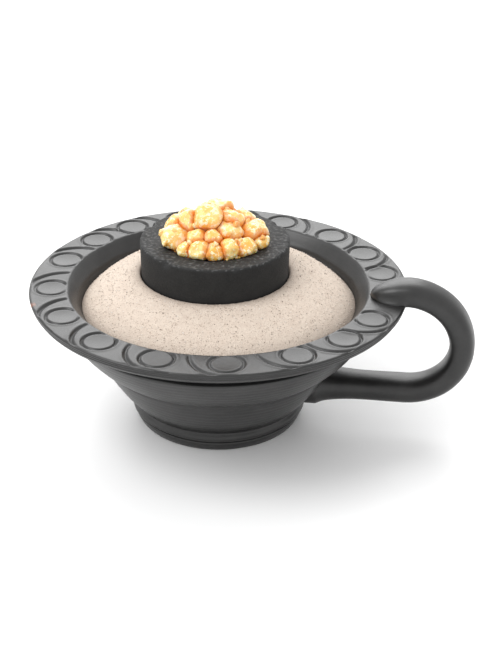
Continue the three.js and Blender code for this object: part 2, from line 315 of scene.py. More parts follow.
CLAY = Finish(
    name="burnished_clay",
    base=(0.010, 0.0098, 0.0095),
    patch=(0.018, 0.0176, 0.0172),
    speck=(0.09, 0.088, 0.085),
    tint=(0.40, 0.13, 0.05),
    shade=(0.005, 0.005, 0.005),
    roughness=(0.24, 0.40),
    patch_scale=160.0,
    speck_scale=3200.0,
    speck_cut=0.72,
    bump=0.30,
    bump_depth=0.09,
    line_scale=1500.0,
    line_depth=0.6,
    coat=0.12,
)
SAND = Finish(
    name="fine_sand",
    base=(0.72, 0.615, 0.52),
    patch=(0.67, 0.56, 0.47),
    speck=(0.33, 0.25, 0.19),
    tint=(0.90, 0.85, 0.80),
    shade=(0.20, 0.15, 0.12),
    roughness=(0.85, 0.98),
    patch_scale=500.0,
    speck_scale=2300.0,
    speck_cut=0.60,
    bump=0.9,
    bump_depth=0.4,
)
CHARCOAL = Finish(
    name="pressed_charcoal",
    base=(0.006, 0.006, 0.006),
    patch=(0.011, 0.011, 0.0105),
    speck=(0.06, 0.06, 0.06),
    tint=(0.26, 0.26, 0.26),
    shade=(0.003, 0.003, 0.003),
    roughness=(0.62, 0.85),
    patch_scale=300.0,
    speck_scale=2800.0,
    speck_cut=0.68,
    bump=0.5,
    bump_depth=0.15,
)
RESIN = Finish(
    name="amber_resin",
    base=(0.93, 0.70, 0.27),
    patch=(0.88, 0.46, 0.08),
    speck=(0.97, 0.86, 0.58),
    tint=(0.74, 0.20, 0.01),
    shade=(0.30, 0.08, 0.005),
    roughness=(0.22, 0.5),
    patch_scale=260.0,
    speck_scale=900.0,
    speck_cut=0.52,
    bump=0.6,
    bump_depth=0.3,
    coat=0.3,
    subsurface=0.3,
)


def resampled(outline: Outline, step: float) -> Outline:
    """Adds points to an outline so that no two are further apart than a step.

    Args:
        outline: Its corners.
        step: The longest gap that is left.

    Returns:
        The corners with points between them.
    """
    points = [outline[0]]
    for (r0, z0), (r1, z1) in zip(outline, outline[1:]):
        count = max(1, math.ceil(math.hypot(r1 - r0, z1 - z0) / step))
        points += [(r0 + (r1 - r0) * i / count, z0 + (z1 - z0) * i / count) for i in range(1, count + 1)]
    return points


def eased(outline: Outline) -> Outline:
    """Rounds the corners of an outline by averaging neighbours.

    Args:
        outline: Its points.

    Returns:
        As many points, with the first and the last where they were.
    """
    points = np.array(outline)
    points[1:-1] = (points[:-2] + 2 * points[1:-1] + points[2:]) / 4
    return [(float(r), float(z)) for r, z in points]


def bulged(start: Point, end: Point, bulge: float, count: int) -> Outline:
    """Draws a band that swells between its ends.

    Args:
        start: Where it starts.
        end: Where it ends.
        bulge: How far the curve's control point lies to the right of the way from start to end.
        count: How many points it has.

    Returns:
        Its points without the first.
    """
    (r0, z0), (r1, z1) = start, end
    length = math.hypot(r1 - r0, z1 - z0)
    control = ((r0 + r1) / 2 + bulge * (z1 - z0) / length, (z0 + z1) / 2 - bulge * (r1 - r0) / length)
    points = []
    for i in range(1, count + 1):
        t = i / count
        a, b, c = (1 - t) ** 2, 2 * t * (1 - t), t * t
        points.append((a * r0 + b * control[0] + c * r1, a * z0 + b * control[1] + c * z1))
    return points


def spun(outline: Outline, sides: int) -> bmesh.types.BMesh:
    """Spins an outline about +Z into a closed skin.

    Args:
        outline: (radius, height) points in millimetres that start and end on the axis.
        sides: Number of steps round the axis.

    Returns:
        The mesh, in metres.
    """
    bm = bmesh.new()
    verts = [bm.verts.new((r * MM, 0.0, z * MM)) for r, z in outline]
    edges = [bm.edges.new(pair) for pair in zip(verts, verts[1:])]
    bmesh.ops.spin(
        bm,
        geom=verts + edges,
        cent=(0, 0, 0),
        axis=(0, 0, 1),
        angle=2 * math.pi,
        steps=sides,
        use_merge=True,
    )
    bmesh.ops.remove_doubles(bm, verts=bm.verts[:], dist=SEAM_GAP)
    return bm


def to_piece(
    name: str,
    bm: bmesh.types.BMesh,
    material: bpy.types.Material,
    body: Body,
    nodes: Iterable[str],
) -> bpy.types.Object:
    """Turns a mesh into a smooth piece of the object.

    Args:
        name: The piece's name.
        bm: Its mesh, in metres and in place.
        material: Its finish.
        body: The body it rides on.
        nodes: CAD nodes that it replaces.

    Returns:
        The piece.
    """
    bmesh.ops.recalc_face_normals(bm, faces=bm.faces[:])
    mesh = bpy.data.meshes.new(name)
    bm.to_mesh(mesh)
    bm.free()
    mesh.shade_smooth()
    mesh.materials.append(material)
    piece = bpy.data.objects.new(name, mesh)
    bpy.context.scene.collection.objects.link(piece)
    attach(piece, body.value)
    if nodes:
        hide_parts(*nodes)
    log.info("%s: %d faces on %s", name, len(mesh.polygons), body.value)
    return piece


def places(piece: bpy.types.Object) -> np.ndarray:
    """Reads the vertices of a piece.

    Args:
        piece: The piece.

    Returns:
        One row of X, Y and Z in millimetres for each vertex.
    """
    flat = np.empty(len(piece.data.vertices) * 3, np.float32)
    piece.data.vertices.foreach_get("co", flat)
    return flat.reshape(-1, 3).astype(float) / MM


def settle(piece: bpy.types.Object, points: np.ndarray) -> None:
    """Puts vertices, given in millimetres, back into a piece."""
    piece.data.vertices.foreach_set("co", (points * MM).astype(np.float32).ravel())
    piece.data.update()


def mark(piece: bpy.types.Object, kind: Mark, values: np.ndarray) -> None:
    """Stores one value from 0 to 1 on each vertex."""
    attribute = piece.data.attributes.new(kind.value, "FLOAT", "POINT")
    attribute.data.foreach_set("value", np.clip(values, 0.0, 1.0).astype(np.float32))


def ripple(points: np.ndarray, size: float) -> np.ndarray:
    """Smooth noise from -1 to 1 at each point, with bumps of about that size in millimetres."""
    return np.array([noise.noise(Vector(p) / size) for p in points])


def bell(distance: np.ndarray, width: float) -> np.ndarray:
    """A smooth hump that is 1 at distance 0 and fades over a width."""
    return np.exp(-((distance / width) ** 2))


def lump_names() -> list[str]:
    """Names of the CAD's resin lumps, in order."""
    return sorted(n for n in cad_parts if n.startswith(LUMP_NAME))


@dataclass
class Bowl:
    """The thrown bowl with its stamped rim.

    A burr is the low ridge that a tool pushes up beside its cut. Throwing leaves fine rings on the rim's
    edge and wider ones on the wall, and a slow wave over everything.
    """

    sides: int = 360
    rim_radius: float = 51.0
    rim_top: float = 39.3
    stamps: tuple[float, ...] = (
        18, 35, 54, 76, 96, 115, 135, 152, 172, 195, 217, 239, 261, 283, 306, 325, 342,
    )
    stamp_ring: float = 44.8
    stamp_groove: float = 4.25
    stamp_width: float = 0.31
    stamp_depth: float = 0.52
    stamp_burr_height: float = 0.10
    stamp_burr_gap: float = 0.85
    stamp_burr_width: float = 0.4
    disc_radius: float = 3.8
    disc_dip: float = 0.22
    arc_centre: Point = (0.9, -3.3)
    arc_radius: float = 9.8
    arc_ends: tuple[float, float] = (98.0, 194.0)
    arc_width: float = 0.42
    arc_depth: float = 0.6
    arc_burr_height: float = 0.14
    arc_burr_gap: float = 1.0
    arc_burr_width: float = 0.5
    least_firmness: float = 0.85
    firmness_range: float = 0.3
    firmness_step: float = 7.0
    fine_depth: float = 0.35
    fine_cuts: int = 2
    top_reach: float = 0.5
    top_blend: float = 0.35
    top_inside: float = 39.0
    mouth_fade: tuple[float, float] = (40.7, 0.7)
    edge_fade: tuple[float, float] = (50.6, 0.5)
    wave_size: float = 9.0
    top_wave: float = 0.12
    side_wave: float = 0.10
    edge_inside: float = 50.0
    edge_below: float = 0.3
    edge_ring_depth: float = 0.11
    edge_ring_pitch: float = 0.75
    wall_heights: tuple[float, float] = (5.0, 36.0)
    wall_inside: float = 22.0
    wall_ring_depth: float = 0.06
    wall_ring_pitch: float = 1.35
    chip_bearing: float = 206.0
    chip_height: float = 38.4
    chip_squash: float = 1.1
    chip_size: float = 0.9
    chip_inside: float = 49.5
    slit_height: float = 31.7
    slit_width: float = 0.9
    slit_radii: tuple[float, float] = (40.0, 44.0)
    # Painted shadow in the slit under the rim, and painted shade in the stamp grooves.
    slit_painted_shadow: float = 0.8
    groove_painted_shade: float = 0.6
    most_groove_painted_shade: float = 0.5

    def outline(self) -> Outline:
        """Draws the section from the middle of the base, up the wall, over the rim and down inside.

        Returns:
            (radius, height) points.
        """
        base = resampled([(0, 0), (20, 0)], step=5.0)
        base += resampled([(21.0, 0), (22.3, 0), (22.6, 0.45)], step=0.4)
        foot = [(23.6, 2.5), (22.9, 2.8), (22.9, 3.15), (24.05, 3.6), (24.0, 4.4), (23.4, 5.8)]
        foot = resampled(foot, step=0.3)
        lower = bulged((23.4, 5.8), (32.6, 19.0), bulge=1.3, count=28)
        ledge = resampled([(32.5, 19.3), (33.5, 19.95)], step=0.3)
        upper = bulged((33.5, 19.95), (42.3, 30.8), bulge=1.5, count=26)
        undercut = resampled([(42.3, 31.1), (41.0, 31.7), (42.6, 33.7), (49.8, 36.5)], step=0.6)
        band = resampled([(50.3, 36.9), (50.75, 38.2), (51.0, 38.8)], step=0.17)
        top = resampled([(50.55, 39.25), (50.2, 39.3), (40.9, 39.3), (40.4, 39.0)], step=0.27)
        lip = resampled([(38.6, 36.4), (37.0, 33.4)], step=0.5)
        inside = resampled([(29.3, 20.0), (23.4, 11.8), (15.0, 7.6), (0, 7.5)], step=2.6)
        return eased(base + foot + lower + ledge + upper + undercut + band + top + lip + inside)

    def relief(self, x: np.ndarray, y: np.ndarray) -> np.ndarray:
        """Works out how deep the ornament is cut.

        Args:
            x: X of places on the rim.
            y: Y of the same places.

        Returns:
            The depth at each place, below 0 where a burr stands up.
        """
        depth = np.zeros_like(x)
        for number, bearing in enumerate(self.stamps):
            turn = math.radians(bearing)
            out = x * math.cos(turn) + y * math.sin(turn) - self.stamp_ring
            side = y * math.cos(turn) - x * math.sin(turn)
            far = np.hypot(out, side)
            firmness = self.least_firmness + self.firmness_range * abs(math.sin(self.firmness_step * number))
            depth += firmness * self.stamp_depth * bell(far - self.stamp_groove, self.stamp_width)
            depth += self.disc_dip * np.clip(1 - (far / self.disc_radius) ** 2, 0, 1)
            burr = bell(far - self.stamp_groove - self.stamp_burr_gap, self.stamp_burr_width)
            depth -= self.stamp_burr_height * burr
            if number == 0:
                # The handle's tip takes the place of this stamp's arc.
                continue
            across, along = side - self.arc_centre[0], out - self.arc_centre[1]
            ring = np.hypot(across, along)
            angle = np.degrees(np.arctan2(along, across)) % 360
            low, high = self.arc_ends
            share = np.clip((angle - low) / (high - low), 0, 1)
            stroke = np.sqrt(np.sin(np.pi * share))
            depth += firmness * self.arc_depth * stroke * bell(ring - self.arc_radius, self.arc_width)
            burr = bell(ring - self.arc_radius - self.arc_burr_gap, self.arc_burr_width)
            depth -= self.arc_burr_height * stroke * burr
        return depth

    def build(self, material: bpy.types.Material) -> bpy.types.Object:
        """Models the bowl, presses the ornament into its rim and marks its wear.

        Args:
            material: The clay's finish.

        Returns:
            Models the bowl, presses the ornament into its rim and marks its chip and its painted shade.
        """
        bm = spun(self.outline(), self.sides)
        self.refine(bm)
        piece = to_piece("bowl_clay", bm, material, Body.BOWL, ["bowl"])
        points = places(piece)
        radius = np.hypot(points[:, 0], points[:, 1])
        wave = ripple(points, self.wave_size)
        depth = self.press(points, radius, wave)
        self.throw(points, radius, wave)
        settle(piece, points)
        self.chip_and_painted_shade(piece, points, radius, depth)
        return piece

    def refine(self, bm: bmesh.types.BMesh) -> None:
        """Splits the rings of edges on the rim's top, so that the ornament has faces enough.

        Args:
            bm: The spun skin.
        """
        floor = (self.rim_top - self.fine_depth) * MM
        rim = [
            e
            for e in bm.edges
            if all(v.co.z > floor for v in e.verts)
            and abs(math.hypot(*e.verts[0].co.xy) - math.hypot(*e.verts[1].co.xy)) < MERGE_GAP
        ]
        bmesh.ops.subdivide_edges(bm, edges=rim, cuts=self.fine_cuts, use_grid_fill=True)

    def press(self, points: np.ndarray, radius: np.ndarray, wave: np.ndarray) -> np.ndarray:
        """Presses the ornament into the rim's top, which waves a little.

        Args:
            points: The bowl's vertices, which are moved.
            radius: How far each is from the axis.
            wave: The slow wave at each, from -1 to 1.

        Returns:
            How deep the ornament is at each vertex.
        """
        x, y, z = points.T
        on_top = np.clip((z - self.rim_top + self.top_reach) / self.top_blend, 0, 1) * (radius > self.top_inside)
        fade = np.clip((radius - self.mouth_fade[0]) / self.mouth_fade[1], 0, 1)
        fade = fade * np.clip((self.edge_fade[0] - radius) / self.edge_fade[1], 0, 1)
        depth = self.relief(x, y) * on_top * fade
        points[:, 2] -= depth + on_top * self.top_wave * (1 + wave)
        return depth

    def throw(self, points: np.ndarray, radius: np.ndarray, wave: np.ndarray) -> None:
        """Draws the throwing rings into the wall and the rim's edge.

        Args:
            points: The bowl's vertices, which are moved.
            radius: How far each is from the axis.
            wave: The slow wave at each, from -1 to 1.
        """
        z = points[:, 2]
        on_edge = (radius > self.edge_inside) & (z < self.rim_top - self.edge_below)
        on_wall = (z > self.wall_heights[0]) & (z < self.wall_heights[1]) & (radius > self.wall_inside)
        edge_rings = 1 + np.sin(z * 2 * np.pi / self.edge_ring_pitch)
        wall_rings = 1 + np.sin(z * 2 * np.pi / self.wall_ring_pitch + 2 * wave)
        squeeze = np.where(on_edge, self.edge_ring_depth * edge_rings, 0.0)
        squeeze += np.where(on_wall, self.wall_ring_depth * wall_rings, 0.0)
        squeeze += np.where(on_wall | on_edge, self.side_wave * (1 + wave), 0.0)
        points[:, :2] *= ((radius - squeeze) / np.maximum(radius, 1e-6))[:, None]

    def chip_and_painted_shade(
        self, piece: bpy.types.Object, points: np.ndarray, radius: np.ndarray, depth: np.ndarray
    ) -> None:
        """Marks the red chip in the rim's edge, paints shade into the stamp grooves and paints a shadow into the
        slit under the rim.

        Args:
            piece: The bowl.
            points: Its vertices.
            radius: How far each was from the axis before the rings.
            depth: How deep the ornament is at each.
        """
        x, y, z = points.T
        turn = np.degrees(np.arctan2(y, x)) % 360
        chip_far = np.hypot(
            (turn - self.chip_bearing) * np.pi / 180 * self.rim_radius,
            (z - self.chip_height) * self.chip_squash,
        )
        mark(piece, Mark.TINT, np.where(radius > self.chip_inside, bell(chip_far, self.chip_size), 0.0))
        # Painted shadow in the slit under the rim's overhang, and painted shade in the grooves, darker where
        # they are cut deeper.
        near, far = self.slit_radii
        slit = bell(z - self.slit_height, self.slit_width) * (radius > near) * (radius < far)
        grooves = np.clip(depth * self.groove_painted_shade, 0, self.most_groove_painted_shade)
        mark(piece, Mark.SHADE, grooves + slit * self.slit_painted_shadow)


@dataclass
class Handle:
    """The strap handle, pulled into a loop and luted on the rim and the wall.

    The tip is the end that lies on the rim, and the root is the end that runs into the wall.
    """

    sides: int = 32
    steps: int = 150
    tip: Point = (40.9, 39.2)
    top_line: float = 40.85
    bend: Point = (51.0, 26.0)
    reach: float = 15.1
    low_line: float = 11.85
    wall_end: Point = (23.3, 11.2)
    wall_radius: float = 27.9
    straight_points: int = 60
    loop_points: int = 200
    look_ahead: float = 0.2
    nose: float = 8.0
    nose_floor: float = 0.004
    width: float = 9.8
    thickness: float = 6.9
    squareness: float = 0.75
    tip_length: float = 10.2
    tip_narrowing: float = 1.2
    tip_thinning: float = 2.0
    root_height: float = 15.0
    root_length: float = 13.0
    root_widening: float = 3.7
    root_thickening: float = 1.6
    flare: float = 0.13
    flare_length: float = 1.5
    beyond_root: float = 30.0
    dent_size: float = 7.0
    dent_share: float = 0.018
    fillet: float = 1.6
    fillet_height: float = 1.8
    fillet_taper: float = 3.0
    fillet_end: tuple[float, float] = (51.0, 2.5)
    seat_edge: float = 51.5
    seat_bottom: float = 37.0
    # Painted shade under the strap's end where it sits on the rim.
    joint_height: float = 40.8
    joint_depth: float = 1.6
    joint_bottom: float = 36.0
    joint_painted_shade: float = 0.5

    def line(self) -> np.ndarray:
        """Draws the middle line from the rim round to the wall.

        Returns:
            Its dense points, as (x, z) rows.
        """
        share = np.linspace(0, 1, self.straight_points)[:, None]
        start, peak = np.array(self.tip), np.array((self.bend[0], self.top_line))
        control = np.array(((self.tip[0] + self.bend[0]) / 2, self.top_line))
        rise = (1 - share) ** 2 * start + 2 * share * (1 - share) * control + share**2 * peak
        turn = np.linspace(np.pi / 2, -np.pi / 2, self.loop_points)[1:]
        tall = np.where(turn > 0, self.top_line - self.bend[1], self.bend[1] - self.low_line)
        loop = np.stack([self.bend[0] + self.reach * np.cos(turn), self.bend[1] + tall * np.sin(turn)], 1)
        run = loop[-1] + (np.array(self.wall_end) - loop[-1]) * share[1:]
        return np.concatenate([rise, loop, run])

    def build(self, material: bpy.types.Material) -> bpy.types.Object:
        """Wraps a grid round the middle line and presses it into the strap's shape.

        Args:
            material: The clay's finish.

        Returns:
            The handle.
        """
        line = self.line()
        passed = np.concatenate([[0], np.cumsum(np.linalg.norm(np.diff(line, axis=0), axis=1))])
        bm = bmesh.new()
        bmesh.ops.create_grid(bm, x_segments=self.sides, y_segments=self.steps, size=1.0)
        for vert in bm.verts:
            turn = math.pi * (vert.co.x + 1)
            along = (vert.co.y + 1) / 2 * passed[-1]
            vert.co = self.place(line, passed, along, turn)
        bmesh.ops.remove_doubles(bm, verts=bm.verts[:], dist=MERGE_GAP)
        bmesh.ops.holes_fill(bm, edges=[e for e in bm.edges if e.is_boundary], sides=0)
        piece = to_piece("handle_clay", bm, material, Body.BOWL, ["handle"])
        x, _, z = places(piece).T
        # Painted shade under the strap, low down where it sits on the rim.
        under = np.clip((self.joint_height - z) / self.joint_depth, 0, 1) ** 2
        mark(piece, Mark.SHADE, self.joint_painted_shade * (under * (x < self.seat_edge) * (z > self.joint_bottom)))
        return piece

    def place(self, line: np.ndarray, passed: np.ndarray, along: float, turn: float) -> Vector:
        """Gives the place of one point of the strap's skin.

        Args:
            line: The middle line.
            passed: Length passed at each of its points.
            along: Length from the rim's end.
            turn: Angle round the section, from 0 at +Y.

        Returns:
            The place, in metres.
        """
        behind, centre, ahead = (
            np.array([np.interp(along + step, passed, line[:, k]) for k in (0, 1)])
            for step in (-self.look_ahead, 0.0, self.look_ahead)
        )
        course = (ahead - behind) / max(np.linalg.norm(ahead - behind), 1e-9)
        outward = np.array([-course[1], course[0]])
        low = centre[1] < self.root_height
        left = max(centre[0] - self.wall_radius, 0.0) if low else self.beyond_root
        tip = max(1 - along / self.tip_length, 0.0)
        root = max(1 - left / self.root_length, 0.0) ** 2
        blunt = math.sqrt(max(1 - max(1 - along / self.nose, 0.0) ** 2, self.nose_floor))
        width = self.width + self.root_widening * root - self.tip_narrowing * tip
        thick = self.thickness + self.root_thickening * root - self.tip_thinning * tip
        flare = (1 + self.flare * math.exp(-left / self.flare_length)) * blunt
        cosine, sine = math.cos(turn), math.sin(turn)
        side = math.copysign(abs(cosine) ** self.squareness, cosine) * width / 2 * flare
        out = math.copysign(abs(sine) ** self.squareness, sine) * thick / 2 * flare
        x, z = centre + outward * out
        dent = noise.noise(Vector((x, side, z)) / self.dent_size)
        shrink = 1 - self.dent_share * (1 + dent)
        x, z = centre + outward * out * shrink
        side *= shrink
        if x < self.seat_edge and z > self.seat_bottom:
            low_down = max(1 - max(z - self.tip[1], 0) / self.fillet_height, 0) ** 2
            spread = low_down * min(1, abs(side) / self.fillet_taper)
            held = min(max((self.fillet_end[0] - x) / self.fillet_end[1], 0), 1)
            side += math.copysign(self.fillet * spread * held * blunt, side)
        return Vector((x, side, z)) * MM


@dataclass
class SandBed:
    """The mound of sand with the tablet's pocket in it.

    The pocket follows the tablet, which stands off the axis, and the mound's outside stays round the axis.
    """

    sides: int = 400
    pocket_radius: float = 20.07
    pocket_floor: float = 36.7
    crest: float = 42.5
    crest_gap: float = 0.3
    edge: Point = (37.05, 33.5)
    swell: float = 3.6
    slope_points: int = 44
    top_from: float = 33.4
    rough_from: float = 20.2
    ripples: tuple[tuple[float, float], ...] = ((0.20, 8.0), (0.07, 0.9), (0.12, 0.45))
    shift_end: float = 33.0
    shift_blend: float = 11.0
    # Painted shade where the sand meets the tablet and the wall: radius, width and amount.
    painted_contact_shades: tuple[tuple[float, float, float], ...] = ((20.0, 1.5, 0.55), (37.0, 1.6, 0.5))
    grains: int = 2000
    grain_ring: tuple[float, float] = (21.5, 36.3)
    grain_size: tuple[float, float] = (0.10, 0.21)
    grain_widths: tuple[float, float] = (0.6, 1.0)
    grain_heights: tuple[float, float] = (0.5, 0.9)
    grain_lift: float = 0.05
    light_share: float = 0.6

    def slope(self) -> Outline:
        """Draws the mound from the tablet's side down to the wall.

        Returns:
            (radius, height) points.
        """
        crest = (self.pocket_radius + self.crest_gap, self.crest)
        up = bulged(self.edge, crest, self.swell, self.slope_points)
        return [self.edge, *up][::-1]

    def build(self, material: bpy.types.Material) -> bpy.types.Object:
        """Models the mound and roughens it.

        Args:
            material: The sand's finish.

        Returns:
            The mound.
        """
        pocket = resampled([(0, self.pocket_floor), (19.6, self.pocket_floor)], step=4.0)
        side = resampled([(self.pocket_radius, 37.0), (self.pocket_radius, self.crest - 0.2)], step=1.0)
        under = resampled([(36.6, 33.0), (29.0, 20.2), (23.0, 12.2), (14.9, 7.9), (0, 7.8)], step=3.0)
        bm = spun(pocket + side + self.slope() + under, self.sides)
        piece = to_piece("sand_mound", bm, material, Body.BOWL, ["sand_bed"])
        points = places(piece)
        radius = np.hypot(points[:, 0], points[:, 1])
        above = points[:, 2] > self.top_from
        outside = above & (radius > self.rough_from)
        points[outside, 2] += sum(height * ripple(points[outside], size) for height, size in self.ripples)
        hold = np.where(above, np.clip((self.shift_end - radius) / self.shift_blend, 0, 1), 0.0)
        points[:, 0] += hold * TABLET_PLACE[0]
        points[:, 1] += hold * TABLET_PLACE[1]
        settle(piece, points)
        # Painted shade on the sand near the tablet's foot and near the wall.
        near = sum(bell(radius - middle, width) * amount for middle, width, amount in self.painted_contact_shades)
        mark(piece, Mark.SHADE, np.where(above, near, 0.0))
        return piece

    def scatter(self, material: bpy.types.Material, dice: random.Random) -> bpy.types.Object:
        """Strews loose grains over the mound, some lighter and some darker than it.

        Args:
            material: The sand's finish.
            dice: The source of chance.

        Returns:
            The grains, as one piece.
        """
        radii, heights = zip(*self.slope())
        (slow_height, slow_size), inner, outer = self.ripples[0], *self.grain_ring
        bm = bmesh.new()
        tint = bm.verts.layers.float.new(Mark.TINT.value)
        shade = bm.verts.layers.float.new(Mark.SHADE.value)
        for _ in range(self.grains):
            radius = math.sqrt(dice.uniform(inner**2, outer**2))
            turn = dice.uniform(0, 2 * math.pi)
            x, y, z = radius * math.cos(turn), radius * math.sin(turn), float(np.interp(radius, radii, heights))
            size = dice.uniform(*self.grain_size)
            hold = min(max((self.shift_end - radius) / self.shift_blend, 0), 1)
            lift = z + self.grain_lift + slow_height * noise.noise(Vector((x, y, z)) / slow_size)
            spot = Vector((x + hold * TABLET_PLACE[0], y + hold * TABLET_PLACE[1], lift))
            wide, high = dice.uniform(*self.grain_widths), dice.uniform(*self.grain_heights)
            shape = Matrix.Diagonal((size, size * wide, size * high, 1 / MM))
            matrix = Matrix.Translation(spot * MM) @ Matrix.Rotation(turn * 3, 4, "Z") @ (shape * MM)
            made = bmesh.ops.create_icosphere(bm, subdivisions=1, radius=1.0, matrix=matrix)["verts"]
            is_light = dice.random() < self.light_share
            light, dark = (dice.random(), 0.0) if is_light else (0.0, dice.random())
            for vert in made:
                vert[tint] = light
                vert[shade] = dark
        return to_piece("sand_grains", bm, material, Body.BOWL, [])


@dataclass
class Tablet:
    """The pressed charcoal tablet with its dish.

    A chip has a bearing and a size.
    """

    sides: int = 320
    radius: float = 20.0
    base: float = 36.9
    top: float = 51.9
    dish_radius: float = 14.0
    dish_depth: float = 3.5
    dish_points: int = 36
    chips: tuple[tuple[float, float], ...] = (
        (-120.0, 1.0), (163.0, 0.8), (-64.0, 0.5), (40.0, 0.7), (-20.0, 0.4),
    )
    chip_drop: float = 0.7
    chip_inset: float = 0.8
    chip_spread: float = 1.1
    chip_blend: float = 0.2
    chip_painted_shade: float = 0.3
    grain_size: float = 0.7
    grain_depth: float = 0.05
    side_grain_depth: float = 0.015
    pit_size: float = 1.6
    pit_cut: float = 0.25
    pit_depth: float = 0.25
    pit_painted_shade: float = 1.5
    upper_drop: float = 0.4
    upper_radius: float = 14.3
    upper_clearance: float = 2.0
    flat_clearance: float = 0.5
    face_radius: float = 19.9
    side_radius: float = 19.2
    # Painted glints on the tablet's top.
    painted_glint_cut: float = 0.25
    painted_glint_share: float = 0.5

    def outline(self) -> Outline:
        """Draws the section from the middle of the base, up the side and down into the dish.

        Returns:
            (radius, height) points.
        """
        base, top = self.base, self.top
        side = resampled([(0, base), (18.2, base)], step=3.0)
        side += resampled([(19.3, base + 0.35), (19.68, base + 1.4), (19.95, top - 0.5)], step=0.4)
        side += resampled([(19.85, top - 0.15), (19.5, top), (14.5, top), (14.1, top - 0.2)], step=0.3)
        ball = (self.dish_radius**2 + self.dish_depth**2) / (2 * self.dish_depth)
        for r in np.linspace(self.dish_radius, 0, self.dish_points)[1:]:
            side.append((float(r), float(top - self.dish_depth + ball - math.sqrt(ball**2 - r**2))))
        return side

    def build(self, material: bpy.types.Material) -> bpy.types.Object:
        """Models the tablet, with chips in its edge and pits in its faces.

        Args:
            material: The charcoal's finish.

        Returns:
            The tablet.
        """
        bm = spun(self.outline(), self.sides)
        piece = to_piece(
            "charcoal_disc", bm, material, Body.CHARCOAL, ["charcoal_tablet"]
        )
        points = places(piece)
        x, y, z = points.T
        radius = np.hypot(x, y)
        turn = np.degrees(np.arctan2(y, x))
        upper = (z > self.top - self.upper_drop) | (radius < self.upper_radius)
        grain = ripple(points, self.grain_size)
        pits = np.clip(-ripple(points, self.pit_size) - self.pit_cut, 0, 1)
        sunk = np.where(
            upper & (z > self.base + self.upper_clearance),
            self.grain_depth * (1 + grain) + self.pit_depth * pits,
            self.side_grain_depth * (1 + grain),
        )
        bite = np.zeros_like(x)
        for bearing, size in self.chips:
            gap = (turn - bearing + 180) % 360 - 180
            across = gap * np.pi / 180 * self.radius
            far = np.sqrt(across**2 + (radius - self.radius) ** 2 + (z - self.top) ** 2)
            bite += size * bell(far, self.chip_spread * size + self.chip_blend)
        flat = (z > self.base + self.flat_clearance).astype(float)
        points[:, 2] -= np.where(radius < self.face_radius, sunk * flat, 0.0) + self.chip_drop * bite
        inset = self.chip_inset * bite + sunk * (radius > self.side_radius)
        points[:, :2] *= (1 - inset / np.maximum(radius, 1))[:, None]
        points[:, 0] += TABLET_PLACE[0]
        points[:, 1] += TABLET_PLACE[1]
        settle(piece, points)
        # Painted glints: light grey flecks on the top where the grain noise is high.
        mark(piece, Mark.TINT, np.where(upper & (grain > self.painted_glint_cut), self.painted_glint_share * grain, 0.0))
        # Painted shade in the pits of the faces and in the chips of the edge.
        mark(piece, Mark.SHADE, np.where(upper, pits * self.pit_painted_shade, 0.0) + bite * self.chip_painted_shade)
        return piece


